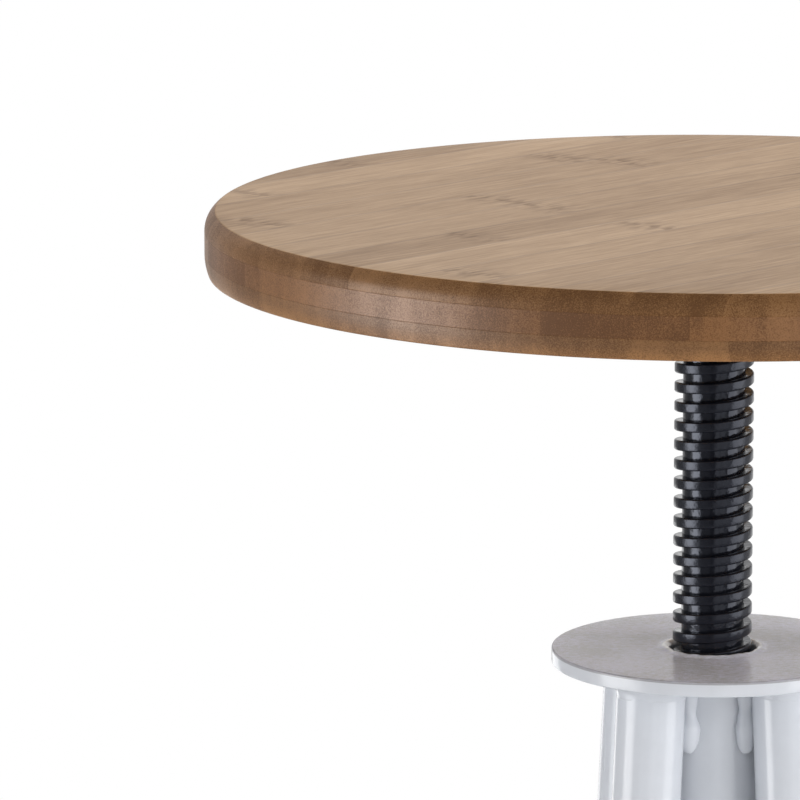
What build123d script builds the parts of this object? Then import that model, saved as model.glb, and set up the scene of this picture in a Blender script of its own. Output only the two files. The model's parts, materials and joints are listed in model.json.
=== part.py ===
from build123d import *
from math import acos, cos, pi, radians, sin, sqrt, tan
import os

os.makedirs("parts", exist_ok=True)

# All sizes are millimetres. The origin is on the floor under the lead screw and +Z is up.

# Seat: a disc glued up from three plies, with a rounded edge that meets both faces in a crisp line
seat_diameter = 330
top_ply = 6.5
core_ply = 7.4
bottom_ply = 6.5
top_edge_inset = 3.5
bottom_edge_inset = 1.3

# Lead screw: a right-hand thread with four turns to the inch
pitch = 6.35
screw_diameter = 25.8
thread_depth = 2.8
crest_width = 2.6
flank_run = 0.4
thread_gap = 0.35
thread_embed = 0.6
thread_shift = 0.8

# Heights with the seat as photographed, and how far it screws either way from there
plate_top = 600
seat_rise = 124.4
turns_up = 2
turns_down = 17.5

# Top plate and the column below it
plate_diameter = 104.8
plate_thickness = 5
plate_edge = 0.6
hole_diameter = 28.6
hole_roundover = 2
column_diameter = 38.5
column_wall = 2.25

# Legs: round tube with a straight neck, one bend and a straight splayed shank
leg_diameter = 22.4
leg_wall = 1.8
leg_column_gap = 0.25
neck_length = 55
neck_lean = 3.4
bend_radius = 200
leg_lean = 21

# Footrest
footrest_height = 230
footrest_bar = 12
footrest_gap = 0.2

# Glides in the feet
glide_base = 5
glide_insert = 22
glide_edge = 1
glide_fit = 0.2

# Nut pressed into the top of the column, plug at its foot
nut_length = 26
press_gap = 0.05
plug_insert = 14
plug_flange = 3
plug_wall = 2.5
plug_edge = 1
end_room = 8

# Guide bush on the journal at the foot of the screw, with the stop washer and bolt
bush_length = 20
bush_play = 0.3
journal_diameter = 16
stop_gap = 0.4
washer_thickness = 2.5
washer_margin = 0.8
stop_bolt_diameter = 10
stop_bolt_length = 22
stop_bolt_flats = 17
stop_bolt_head = 6.4
bolt_clearance = 0.25

# Mount plate under the seat, its bolts and the inserts that they screw into
mount_diameter = 110
mount_thickness = 4
mount_edge = 1
spigot_diameter = 18
spigot_recess = 0.5
thread_runout = 16
seat_bolt_diameter = 6
seat_bolt_circle = 80
seat_bolt_count = 4
seat_bolt_head = 11
seat_bolt_head_height = 3.3
seat_bolt_head_taper = 30
seat_bolt_socket = 4
seat_bolt_socket_depth = 2
insert_diameter = 9
insert_length = 11
insert_room = 0.5

# Weld beads
plate_bead = 6
column_bead_top = 2.6
column_bead_foot = 3.2
column_bead_length = 23
bead_bite = 1
footrest_bead = 3.6
footrest_bead_length = 12
spindle_bead = 5

# What follows from those sizes
seat_radius = seat_diameter / 2
screw_radius = screw_diameter / 2
root_radius = screw_radius - thread_depth
column_radius = column_diameter / 2
bore_radius = column_radius - column_wall
plate_underside = plate_top - plate_thickness
nut_bottom = plate_underside - nut_length
seat_underside = plate_top + seat_rise
core_underside = seat_underside + bottom_ply
top_ply_underside = core_underside + core_ply
seat_top = top_ply_underside + top_ply
mount_underside = seat_underside - mount_thickness

bush_top = nut_bottom - turns_up * pitch - stop_gap
bush_bottom = bush_top - bush_length
thread_bottom = bush_top + bush_play
thread_top = mount_underside - thread_runout
journal_end = bush_bottom - bush_play
washer_bottom = journal_end - washer_thickness
stop_bolt_bottom = washer_bottom - stop_bolt_head
column_bottom = stop_bolt_bottom - turns_down * pitch - end_room - plug_insert

# Each leg stands on a diagonal, with its top beside the column
plate_radius = plate_diameter / 2
leg_radius = leg_diameter / 2
leg_bore_radius = leg_radius - leg_wall
leg_reach = column_radius + leg_column_gap + leg_radius
leg_angles = {"front_left": 180, "front_right": 270, "back_right": 0, "back_left": 90}
diagonal = Plane(origin=(0, 0, 0), x_dir=(1, 1, 0), z_dir=(1, -1, 0))
across = (1, -1, 0)
overrun = leg_diameter


def bolt_spots(height):
    ring = []
    for corner in range(seat_bolt_count):
        turn = radians(360 / seat_bolt_count * (corner + 1 / 2))
        ring.append((seat_bolt_circle / 2 * cos(turn), seat_bolt_circle / 2 * sin(turn), height))
    return ring


def export(name, solid):
    solid.label = name
    export_step(solid, "parts/" + name + ".step")


# The lead screw's helical ridge, grown on every side by the given gap
def thread_ridge(bottom, top, gap):
    first_turn = (bottom - plate_top - thread_shift) // pitch - 1
    start = plate_top + thread_shift + first_turn * pitch
    turns = (top - start) // pitch + 2
    inner = root_radius - thread_embed
    outer = screw_radius + gap
    slope = flank_run / thread_depth
    outer_half = crest_width / 2 + gap - slope * gap
    inner_half = outer_half + slope * (outer - inner)
    with BuildPart() as ridge:
        with BuildLine():
            Helix(pitch, turns * pitch, root_radius, center=(0, 0, start))
        with BuildSketch(Plane.XZ):
            with BuildLine():
                Polyline(
                    (inner, start - inner_half),
                    (outer, start - outer_half),
                    (outer, start + outer_half),
                    (inner, start + inner_half),
                    close=True,
                )
            make_face()
        sweep(is_frenet=True)
        split(bisect_by=Plane.XY.offset(bottom), keep=Keep.TOP)
        split(bisect_by=Plane.XY.offset(top), keep=Keep.BOTTOM)
    return ridge.part


# Seat plies
with BuildPart() as seat_top_ply:
    with BuildSketch(Plane.XZ):
        with BuildLine():
            Polyline(
                (seat_radius - top_edge_inset, seat_top),
                (0, seat_top),
                (0, top_ply_underside),
                (seat_radius, top_ply_underside),
            )
            TangentArc(
                (seat_radius, top_ply_underside),
                (seat_radius - top_edge_inset, seat_top),
                tangent=(0, 1),
            )
        make_face()
    revolve(axis=Axis.Z)

with BuildPart() as seat_core_ply:
    with BuildSketch(Plane.XY.offset(core_underside)):
        Circle(seat_radius)
    extrude(amount=core_ply)
    with Locations(*bolt_spots(core_underside)):
        Cylinder(
            insert_diameter / 2 + press_gap,
            insert_length - bottom_ply + insert_room,
            align=(Align.CENTER, Align.CENTER, Align.MIN),
            mode=Mode.SUBTRACT,
        )

with BuildPart() as seat_bottom_ply:
    with BuildSketch(Plane.XZ):
        with BuildLine():
            Polyline(
                (seat_radius, core_underside),
                (0, core_underside),
                (0, seat_underside),
                (seat_radius - bottom_edge_inset, seat_underside),
            )
            TangentArc(
                (seat_radius, core_underside),
                (seat_radius - bottom_edge_inset, seat_underside),
                tangent=(0, -1),
            )
        make_face()
    revolve(axis=Axis.Z)
    with BuildSketch(Plane.XY.offset(seat_underside)):
        with Locations(*bolt_spots(0)):
            Circle(insert_diameter / 2 + press_gap)
    extrude(amount=bottom_ply, mode=Mode.SUBTRACT)

# Threaded inserts in the underside of the seat
with BuildPart() as seat_inserts:
    with BuildSketch(Plane.XY.offset(seat_underside)):
        with Locations(*bolt_spots(0)):
            Circle(insert_diameter / 2)
            Circle(seat_bolt_diameter / 2 + press_gap, mode=Mode.SUBTRACT)
    extrude(amount=insert_length)

# Mount plate that the screw is welded to
with BuildPart() as seat_mount_plate:
    with BuildSketch(Plane.XY.offset(mount_underside)):
        Circle(mount_diameter / 2)
    extrude(amount=mount_thickness)
    chamfer(seat_mount_plate.faces().sort_by(Axis.Z)[0].edges(), mount_edge)
    with BuildSketch(Plane.XY.offset(mount_underside)):
        Circle(spigot_diameter / 2 + press_gap)
        with Locations(*bolt_spots(0)):
            Circle(seat_bolt_diameter / 2 + bolt_clearance)
    extrude(amount=mount_thickness, mode=Mode.SUBTRACT)

# Button-head bolts through the mount plate
with BuildPart() as seat_bolts:
    with BuildSketch(Plane.XY.offset(mount_underside)):
        with Locations(*bolt_spots(0)):
            Circle(seat_bolt_diameter / 2)
    extrude(amount=mount_thickness + insert_length)
    with BuildSketch(Plane.XY.offset(mount_underside)):
        with Locations(*bolt_spots(0)):
            Circle(seat_bolt_head / 2)
    extrude(amount=-seat_bolt_head_height, taper=seat_bolt_head_taper)
    with BuildSketch(Plane.XY.offset(mount_underside - seat_bolt_head_height)):
        with Locations(*bolt_spots(0)):
            RegularPolygon(seat_bolt_socket / 2, 6, major_radius=False)
    extrude(amount=seat_bolt_socket_depth, mode=Mode.SUBTRACT)

# Lead screw: journal, threaded core, plain neck and the spigot in the mount plate
with BuildPart() as screw_spindle:
    with BuildSketch(Plane.XZ):
        with BuildLine():
            Polyline(
                (0, journal_end),
                (journal_diameter / 2, journal_end),
                (journal_diameter / 2, thread_bottom),
                (root_radius, thread_bottom),
                (root_radius, mount_underside),
                (spigot_diameter / 2, mount_underside),
                (spigot_diameter / 2, seat_underside - spigot_recess),
                (0, seat_underside - spigot_recess),
                close=True,
            )
        make_face()
    revolve(axis=Axis.Z)
    add(thread_ridge(thread_bottom, thread_top, 0))
    with BuildSketch(Plane.XY.offset(journal_end)):
        Circle(stop_bolt_diameter / 2 + press_gap)
    extrude(amount=stop_bolt_length, mode=Mode.SUBTRACT)

# Fillet weld where the screw meets the mount plate
with BuildPart() as spindle_weld:
    with BuildSketch(Plane.XZ):
        with BuildLine():
            Polyline(
                (root_radius, mount_underside - spindle_bead),
                (root_radius + spindle_bead, mount_underside),
                (root_radius, mount_underside),
                close=True,
            )
        make_face()
    revolve(axis=Axis.Z)

# Guide bush that slides in the column while the screw turns in it
with BuildPart() as guide_bush:
    with BuildSketch(Plane.XY.offset(bush_bottom)):
        Circle(bore_radius - bush_play)
        Circle(journal_diameter / 2 + bush_play, mode=Mode.SUBTRACT)
    extrude(amount=bush_length)

with BuildPart() as stop_washer:
    with BuildSketch(Plane.XY.offset(washer_bottom)):
        Circle(bore_radius - washer_margin)
        Circle(stop_bolt_diameter / 2 + bolt_clearance, mode=Mode.SUBTRACT)
    extrude(amount=washer_thickness)

with BuildPart() as stop_bolt:
    with BuildSketch(Plane.XY.offset(stop_bolt_bottom)):
        RegularPolygon(stop_bolt_flats / 2, 6, major_radius=False)
    extrude(amount=stop_bolt_head)
    with BuildSketch(Plane.XY.offset(washer_bottom)):
        Circle(stop_bolt_diameter / 2)
    extrude(amount=stop_bolt_length)

# Nut with the matching thread
with BuildPart() as spindle_nut:
    with BuildSketch(Plane.XY.offset(nut_bottom)):
        Circle(bore_radius - press_gap)
    extrude(amount=nut_length)
    add(thread_ridge(nut_bottom - pitch, plate_underside + pitch, thread_gap), mode=Mode.SUBTRACT)
    with BuildSketch(Plane.XY.offset(nut_bottom)):
        Circle(root_radius + thread_gap)
    extrude(amount=nut_length, mode=Mode.SUBTRACT)

# Top plate
with BuildPart() as top_plate:
    with BuildSketch(Plane.XY.offset(plate_underside)):
        Circle(plate_radius)
        Circle(hole_diameter / 2, mode=Mode.SUBTRACT)
    extrude(amount=plate_thickness)
    top_edges = top_plate.faces().sort_by(Axis.Z)[-1].edges().sort_by(SortBy.RADIUS)
    fillet(top_edges[0], hole_roundover)
    rim_edges = top_plate.edges().filter_by(GeomType.CIRCLE).sort_by(SortBy.RADIUS)[-2:]
    chamfer(rim_edges, plate_edge)

# Column tube and the plug that closes its foot
with BuildPart() as column_tube:
    with BuildSketch(Plane.XY.offset(column_bottom)):
        Circle(column_radius)
        Circle(bore_radius, mode=Mode.SUBTRACT)
    extrude(amount=plate_underside - column_bottom)

with BuildPart() as column_plug:
    with BuildSketch(Plane.XY.offset(column_bottom - plug_flange)):
        Circle(column_radius)
    extrude(amount=plug_flange)
    chamfer(column_plug.faces().sort_by(Axis.Z)[0].edges(), plug_edge)
    with BuildSketch(Plane.XY.offset(column_bottom)):
        Circle(bore_radius - press_gap)
        Circle(bore_radius - press_gap - plug_wall, mode=Mode.SUBTRACT)
    extrude(amount=plug_insert)

# One leg, on the diagonal towards +X and +Y; the other three are turned copies of it
neck_top = (leg_reach - overrun * tan(radians(neck_lean)), plate_underside + overrun)
neck_foot = (
    leg_reach + neck_length * tan(radians(neck_lean)),
    plate_underside - neck_length,
)
shank_top = (
    neck_foot[0] + bend_radius * (cos(radians(neck_lean)) - cos(radians(leg_lean))),
    neck_foot[1] - bend_radius * (sin(radians(leg_lean)) - sin(radians(neck_lean))),
)


# How far out along the diagonal the middle of the shank is at a height
def shank_reach(height):
    return shank_top[0] + (shank_top[1] - height) * tan(radians(leg_lean))


with BuildLine(diagonal) as leg_route:
    leg_neck = Line(neck_top, neck_foot)
    leg_bend = JernArc(leg_neck @ 1, leg_neck % 1, bend_radius, leg_lean - neck_lean)
    Line(leg_bend @ 1, diagonal.from_local_coords((shank_reach(-overrun), -overrun)))

leg_section = Plane(origin=leg_neck @ 0, x_dir=across, z_dir=leg_neck % 0)

with BuildPart() as leg_outside:
    add(leg_route.line)
    with BuildSketch(leg_section):
        Circle(leg_radius)
    sweep()
    split(bisect_by=Plane.XY.offset(plate_underside), keep=Keep.BOTTOM)
    split(bisect_by=Plane.XY.offset(glide_base), keep=Keep.TOP)

with BuildPart() as leg_bore:
    add(leg_route.line)
    with BuildSketch(leg_section):
        Circle(leg_bore_radius)
    sweep()

with BuildPart() as leg:
    add(leg_outside.part)
    add(leg_bore.part, mode=Mode.SUBTRACT)

# Plastic glide: a pad as wide as the tube and a stem inside it
shank_direction = (sin(radians(leg_lean)) / sqrt(2), sin(radians(leg_lean)) / sqrt(2), -cos(radians(leg_lean)))
foot_point = (shank_reach(0) / sqrt(2), shank_reach(0) / sqrt(2), 0)
foot_section = Plane(origin=foot_point, x_dir=across, z_dir=shank_direction)

with BuildPart() as glide:
    with BuildSketch(foot_section):
        Circle(leg_radius)
    extrude(amount=overrun, both=True)
    split(bisect_by=Plane.XY.offset(glide_base), keep=Keep.BOTTOM)
    with BuildSketch(foot_section):
        Circle(leg_bore_radius - glide_fit)
    extrude(amount=-glide_insert)
    split(bisect_by=Plane.XY, keep=Keep.TOP)
    chamfer(glide.faces().sort_by(Axis.Z)[0].edges(), glide_edge)

# Footrest ring against the inner sides of the legs
bar_radius = footrest_bar / 2
seat_of_bar = (bar_radius + footrest_gap + leg_radius) / cos(radians(leg_lean))
footrest_radius = shank_reach(footrest_height) - seat_of_bar

with BuildPart() as footrest_ring:
    with BuildSketch(Plane.XZ):
        with Locations((footrest_radius, footrest_height)):
            Circle(bar_radius)
    revolve(axis=Axis.Z)

# Welds: the legs under the plate, the legs to the column and the footrest to the legs
with BuildPart() as leg_plate_bead:
    with Locations((leg_reach / sqrt(2), leg_reach / sqrt(2), plate_underside)):
        Cone(
            leg_radius,
            leg_radius + plate_bead,
            plate_bead,
            align=(Align.CENTER, Align.CENTER, Align.MAX),
        )
    add(leg_outside.part, mode=Mode.SUBTRACT)
    with BuildSketch(Plane.XY.offset(plate_underside)):
        Circle(column_radius)
    extrude(amount=-plate_bead, mode=Mode.SUBTRACT)

# The beads beside a leg lie where the round of the leg and the round of the column meet
bead_reach = column_radius + column_bead_top - bead_bite
bead_to_leg = leg_radius + column_bead_top - bead_bite
bead_cosine = (bead_reach**2 + leg_reach**2 - bead_to_leg**2) / (2 * bead_reach * leg_reach)
bead_turn = acos(bead_cosine)
bead_spots = [
    (bead_reach * cos(pi / 4 + turn), bead_reach * sin(pi / 4 + turn), plate_underside - column_bead_length)
    for turn in (-bead_turn, bead_turn)
]

with BuildPart() as leg_column_bead:
    with Locations(*bead_spots):
        Cone(
            column_bead_foot,
            column_bead_top,
            column_bead_length,
            align=(Align.CENTER, Align.CENTER, Align.MIN),
        )
    add(leg_outside.part, mode=Mode.SUBTRACT)
    add(leg_plate_bead.part, mode=Mode.SUBTRACT)
    with BuildSketch(Plane.XY.offset(plate_underside)):
        Circle(column_radius)
    extrude(amount=-overrun - column_bead_length, mode=Mode.SUBTRACT)

contact_reach = footrest_radius + bar_radius * cos(radians(leg_lean))
contact_height = footrest_height + bar_radius * sin(radians(leg_lean))
contact_point = (contact_reach / sqrt(2), contact_reach / sqrt(2), contact_height)

with BuildPart() as footrest_bead_solid:
    with BuildSketch(Plane(origin=contact_point, x_dir=(1, 1, 0), z_dir=across)):
        Circle(footrest_bead)
    extrude(amount=footrest_bead_length / 2, both=True)
    add(leg_outside.part, mode=Mode.SUBTRACT)
    add(footrest_ring.part, mode=Mode.SUBTRACT)


def four_round(solid):
    return Compound(children=[solid.rotate(Axis.Z, angle) for angle in leg_angles.values()])


export("seat_top_ply", seat_top_ply.part)
export("seat_core_ply", seat_core_ply.part)
export("seat_bottom_ply", seat_bottom_ply.part)
export("seat_inserts", seat_inserts.part)
export("seat_mount_plate", seat_mount_plate.part)
export("seat_bolts", seat_bolts.part)
export("screw_spindle", screw_spindle.part)
export("spindle_weld", spindle_weld.part)
export("guide_bush", guide_bush.part)
export("stop_washer", stop_washer.part)
export("stop_bolt", stop_bolt.part)
export("spindle_nut", spindle_nut.part)
export("top_plate", top_plate.part)
export("column_tube", column_tube.part)
export("column_plug", column_plug.part)
export("footrest_ring", footrest_ring.part)
export("leg_plate_welds", four_round(leg_plate_bead.part))
export("leg_column_welds", four_round(leg_column_bead.part))
export("footrest_welds", four_round(footrest_bead_solid.part))
for place, angle in leg_angles.items():
    export("leg_" + place, leg.part.rotate(Axis.Z, angle))
    export("glide_" + place, glide.part.rotate(Axis.Z, angle))
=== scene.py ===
import json
import math
import bmesh
import bpy
from mathutils import Matrix, Vector, noise


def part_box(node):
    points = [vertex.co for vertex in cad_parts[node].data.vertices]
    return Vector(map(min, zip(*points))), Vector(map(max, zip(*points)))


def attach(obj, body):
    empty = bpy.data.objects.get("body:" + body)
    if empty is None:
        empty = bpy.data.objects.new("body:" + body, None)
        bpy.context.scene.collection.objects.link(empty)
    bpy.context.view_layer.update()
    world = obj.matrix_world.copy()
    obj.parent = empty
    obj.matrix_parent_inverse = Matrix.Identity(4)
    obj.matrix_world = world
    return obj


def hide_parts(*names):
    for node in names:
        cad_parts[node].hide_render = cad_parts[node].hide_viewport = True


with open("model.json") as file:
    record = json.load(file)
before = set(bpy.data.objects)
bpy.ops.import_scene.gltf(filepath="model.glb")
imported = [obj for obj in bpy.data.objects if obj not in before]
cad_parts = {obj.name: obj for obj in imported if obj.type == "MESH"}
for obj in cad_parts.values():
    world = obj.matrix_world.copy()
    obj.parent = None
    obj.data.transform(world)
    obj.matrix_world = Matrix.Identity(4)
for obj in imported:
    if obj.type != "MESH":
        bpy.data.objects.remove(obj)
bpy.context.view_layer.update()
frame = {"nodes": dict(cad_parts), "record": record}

scene = bpy.context.scene
scene.view_settings.view_transform = "Standard"


# Meshes

def pieceFromData(name, verts, faces, smoothAngle=35):
    mesh = bpy.data.meshes.new(name)
    mesh.from_pydata(verts, [], faces)
    work = bmesh.new()
    work.from_mesh(mesh)
    bmesh.ops.remove_doubles(work, verts=work.verts, dist=1e-7)
    bmesh.ops.recalc_face_normals(work, faces=work.faces)
    work.to_mesh(mesh)
    work.free()
    piece = bpy.data.objects.new(name, mesh)
    scene.collection.objects.link(piece)
    smoothPiece(piece, smoothAngle)
    return piece


def smoothPiece(piece, angle):
    mesh = piece.data
    mesh.polygons.foreach_set("use_smooth", [True] * len(mesh.polygons))
    work = bmesh.new()
    work.from_mesh(mesh)
    limit = math.radians(angle)
    for edge in work.edges:
        edge.smooth = len(edge.link_faces) == 2 and edge.calc_face_angle(0) < limit
    work.to_mesh(mesh)
    work.free()


# A turned piece: the profile is a closed or pole-to-pole run of (radius, height) points
def turnedData(profile, around, shift=None):
    verts, faces, rings = [], [], []
    for radius, height in profile:
        if radius < 1e-9:
            rings.append([len(verts)] * around)
            verts.append((0, 0, height))
            continue
        ring = []
        for step in range(around):
            angle = math.tau * step / around
            r, z = (radius, height) if shift is None else shift(radius, height, angle)
            ring.append(len(verts))
            verts.append((r * math.cos(angle), r * math.sin(angle), z))
        rings.append(ring)
    for low, high in zip(rings, rings[1:]):
        for step in range(around):
            nxt = (step + 1) % around
            corners = [low[step], low[nxt], high[nxt], high[step]]
            face = [c for i, c in enumerate(corners) if c not in corners[:i]]
            if len(face) > 2:
                faces.append(face)
    return verts, faces


def arcPoints(centre, radius, start, end, steps):
    run = []
    for i in range(steps + 1):
        angle = math.radians(start + (end - start) * i / steps)
        run.append((centre[0] + radius * math.cos(angle), centre[1] + radius * math.sin(angle)))
    return run


# Shader building

def blankFinish(name):
    finish = bpy.data.materials.new(name)
    finish.use_nodes = True
    tree = finish.node_tree
    tree.nodes.clear()
    return finish, tree, tree.nodes.new("ShaderNodeOutputMaterial")


def newFinish(name):
    finish, tree, out = blankFinish(name)
    shader = tree.nodes.new("ShaderNodeBsdfPrincipled")
    tree.links.new(shader.outputs["BSDF"], out.inputs["Surface"])
    return finish, tree, shader


def add(tree, kind, wires=None, **settings):
    made = tree.nodes.new(kind)
    for key, value in settings.items():
        setattr(made, key, value)
    for key, value in (wires or {}).items():
        if isinstance(value, bpy.types.NodeSocket):
            tree.links.new(value, made.inputs[key])
        else:
            made.inputs[key].default_value = value
    return made


def calc(tree, operation, *terms, clamp=False):
    wires = {i: term for i, term in enumerate(terms)}
    return add(tree, "ShaderNodeMath", wires, operation=operation, use_clamp=clamp).outputs[0]


# Distance of a value from the middle of a noise
def offMiddle(tree, value):
    return calc(tree, "SUBTRACT", value, 0.5)


def inverse(tree, value):
    return calc(tree, "SUBTRACT", 1.0, value)


# Runs from the first to the last level while the value goes from low to high
def spread(tree, value, low, high, first=0.0, last=1.0):
    reach = {0: value, 1: low, 2: high, 3: first, 4: last}
    return add(tree, "ShaderNodeMapRange", reach).outputs[0]


def blendColour(tree, factor, first, second, how="MIX"):
    made = tree.nodes.new("ShaderNodeMix")
    made.data_type = "RGBA"
    made.blend_type = how
    for index, value in ((0, factor), (6, first), (7, second)):
        if isinstance(value, bpy.types.NodeSocket):
            tree.links.new(value, made.inputs[index])
        else:
            made.inputs[index].default_value = value
    return made.outputs[2]


def ramp(tree, source, stops, steps="LINEAR"):
    made = tree.nodes.new("ShaderNodeValToRGB")
    line = made.color_ramp
    line.interpolation = steps
    while len(line.elements) < len(stops):
        line.elements.new(0.5)
    for element, (spot, colour) in zip(line.elements, stops):
        element.position = spot
        element.color = colour if len(colour) == 4 else (*colour, 1)
    tree.links.new(source, made.inputs[0])
    return made.outputs[0]


def noiseValue(tree, where, scale, detail=2.0, roughness=0.5):
    wires = {"Vector": where, "Scale": scale, "Detail": detail, "Roughness": roughness}
    return add(tree, "ShaderNodeTexNoise", wires).outputs["Fac"]


def stretched(tree, where, scale):
    return add(tree, "ShaderNodeVectorMath", {0: where, 1: scale}, operation="MULTIPLY").outputs[0]


def objectPlace(tree, turn=0.0):
    where = tree.nodes.new("ShaderNodeTexCoord").outputs["Object"]
    wires = {"Vector": where, "Rotation": (0, 0, turn)}
    return add(tree, "ShaderNodeMapping", wires).outputs[0]


def fromAxis(tree, where):
    flat = stretched(tree, where, (1, 1, 0))
    return add(tree, "ShaderNodeVectorMath", {0: flat}, operation="LENGTH").outputs["Value"]


def heightOf(tree, where):
    return add(tree, "ShaderNodeSeparateXYZ", {0: where}).outputs[2]


def bumpFrom(tree, shader, height, strength, distance):
    wires = {"Height": height, "Strength": strength, "Distance": distance}
    bump = add(tree, "ShaderNodeBump", wires)
    tree.links.new(bump.outputs[0], shader.inputs["Normal"])


# Bamboo boards: strips with their own tone, fibres along them and rows of flecks at the old joints
bamboo = {
    "grain": -43.2,
    "light": (0.375, 0.205, 0.069),
    "dark": (0.175, 0.086, 0.025),
    # painted shade on the seat's cut edge
    "edgeShadeTint": (0.55, 0.47, 0.46),
    # painted light from the white floor on the lower arris
    "floorLightTint": (1.5, 1.5, 1.4),
    "fleck": (0.085, 0.04, 0.016),
    "stripWidth": 0.0231,
    "jointSpacing": 0.176,
    "jointLength": 0.012,
    "roughness": 0.38,
    "gloss": (0.24, 0.42),
    "edgeFrom": 0.16145,
    "edgeTo": 0.1617,
    "floorLightFrom": 0.0004,
    "floorLightTo": 0.0041,
    "waver": 0.0012,
    "jointWaver": 0.012,
    "hairlineFrom": 0.97,
    "firstStrip": -8,
    "waverGrain": (2.2, 9.0, 9.0),
    "fibreGrain": (34.0, 620.0, 440.0),
    "streakGrain": (5.0, 110.0, 60.0),
    "cloudGrain": (7.0, 22.0, 22.0),
    "fleckGrain": (130.0, 380.0, 380.0),
    "blotchGrain": (95.0, 95.0, 28.0),
    "speckleScale": 2300.0,
    "ownShift": (3.1, 2.3),
    "fibreAmount": 1.5,
    "edgeFibreLoss": 0.7,
    "streakAmount": 0.4,
    "cloudAmount": 0.42,
    "toneAmount": (0.42, 0.87),
    "speckleAmount": 3.3,
    "blotchAmount": 1.9,
    "fleckAmount": 0.5,
    "fleckContrast": (7.0, -3.1),
    "fleckDullness": 0.75,
    "hairAmount": 0.42,
    "bump": 0.10,
    "bumpDepth": 0.0004,
}
# Each ply's strips from the first to the last: their tones, and where a strip's joint lies along it
strips = {
    "top": {
        "start": 0.006,
        "tones": (0.5, 0.35, 0.6, 0.2, 0.35, 0.5, 0.65, 0.85, 0.2, 0.5, 0.6, 0.45, 0.45, 0.8, 0.2),
        "joints": (0, 30, -60, 40, -12, 20, -145, -41, -95, -36, -35, 54, 46, -81, -13),
    },
    "core": {
        "start": 0.009,
        "tones": (0.6, 0.2, 0.8, 0.4, 0.6, 0.3, 0.5, 0.7, 0.35, 0.55, 0.75, 0.3, 0.5, 0.65, 0.4),
        "joints": (20, -50, 70, -10, 40, -75, 5, 60, -30, 84, -62, 12, -44, 33, 0),
    },
    "lower": {
        "start": 0.0048,
        "tones": (0.5, 0.6, 0.12, 0.68, 0.5, 0.6, 0.5, 0.35, 0.45, 0.6, 0.4, 0.55, 0.7, 0.3, 0.5),
        "joints": (60, -20, 15, -70, 35, -48, 80, 0, -30, 52, -84, 25, -8, 66, -40),
    },
}


# Each strip's own tone, and how far its joints are shifted along it
def stripTable(tree, strip, ply):
    rows = list(zip(strips[ply]["tones"], strips[ply]["joints"]))
    stops = []
    for index, (tone, joint) in enumerate(rows):
        shift = (0.5 - joint / 1000 / bamboo["jointSpacing"]) % 1.0
        stops.append((index / len(rows), (tone, shift, 0)))
    key = calc(tree, "DIVIDE", calc(tree, "ADD", strip, 0.5 - bamboo["firstStrip"]), len(rows))
    table = ramp(tree, key, stops, "CONSTANT")
    return add(tree, "ShaderNodeSeparateColor", {0: table}).outputs[:2]


# Dark flecks where a strip has an old joint
def fleckMarks(tree, where, along, shift, waver):
    b = bamboo
    shifted = calc(tree, "MULTIPLY_ADD", shift, b["jointSpacing"], along)
    cell = calc(tree, "FRACT", calc(tree, "DIVIDE", shifted, b["jointSpacing"]))
    away = calc(tree, "MULTIPLY", calc(tree, "ABSOLUTE", offMiddle(tree, cell)), b["jointSpacing"])
    away = calc(tree, "MULTIPLY_ADD", offMiddle(tree, waver), b["jointWaver"], away)
    near = calc(tree, "SUBTRACT", 1.0, calc(tree, "DIVIDE", away, b["jointLength"]), clamp=True)
    fleck = noiseValue(tree, stretched(tree, where, b["fleckGrain"]), 1.0, 1.5)
    marks = calc(tree, "MULTIPLY_ADD", fleck, *b["fleckContrast"], clamp=True)
    return calc(tree, "MULTIPLY", marks, near)


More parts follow.
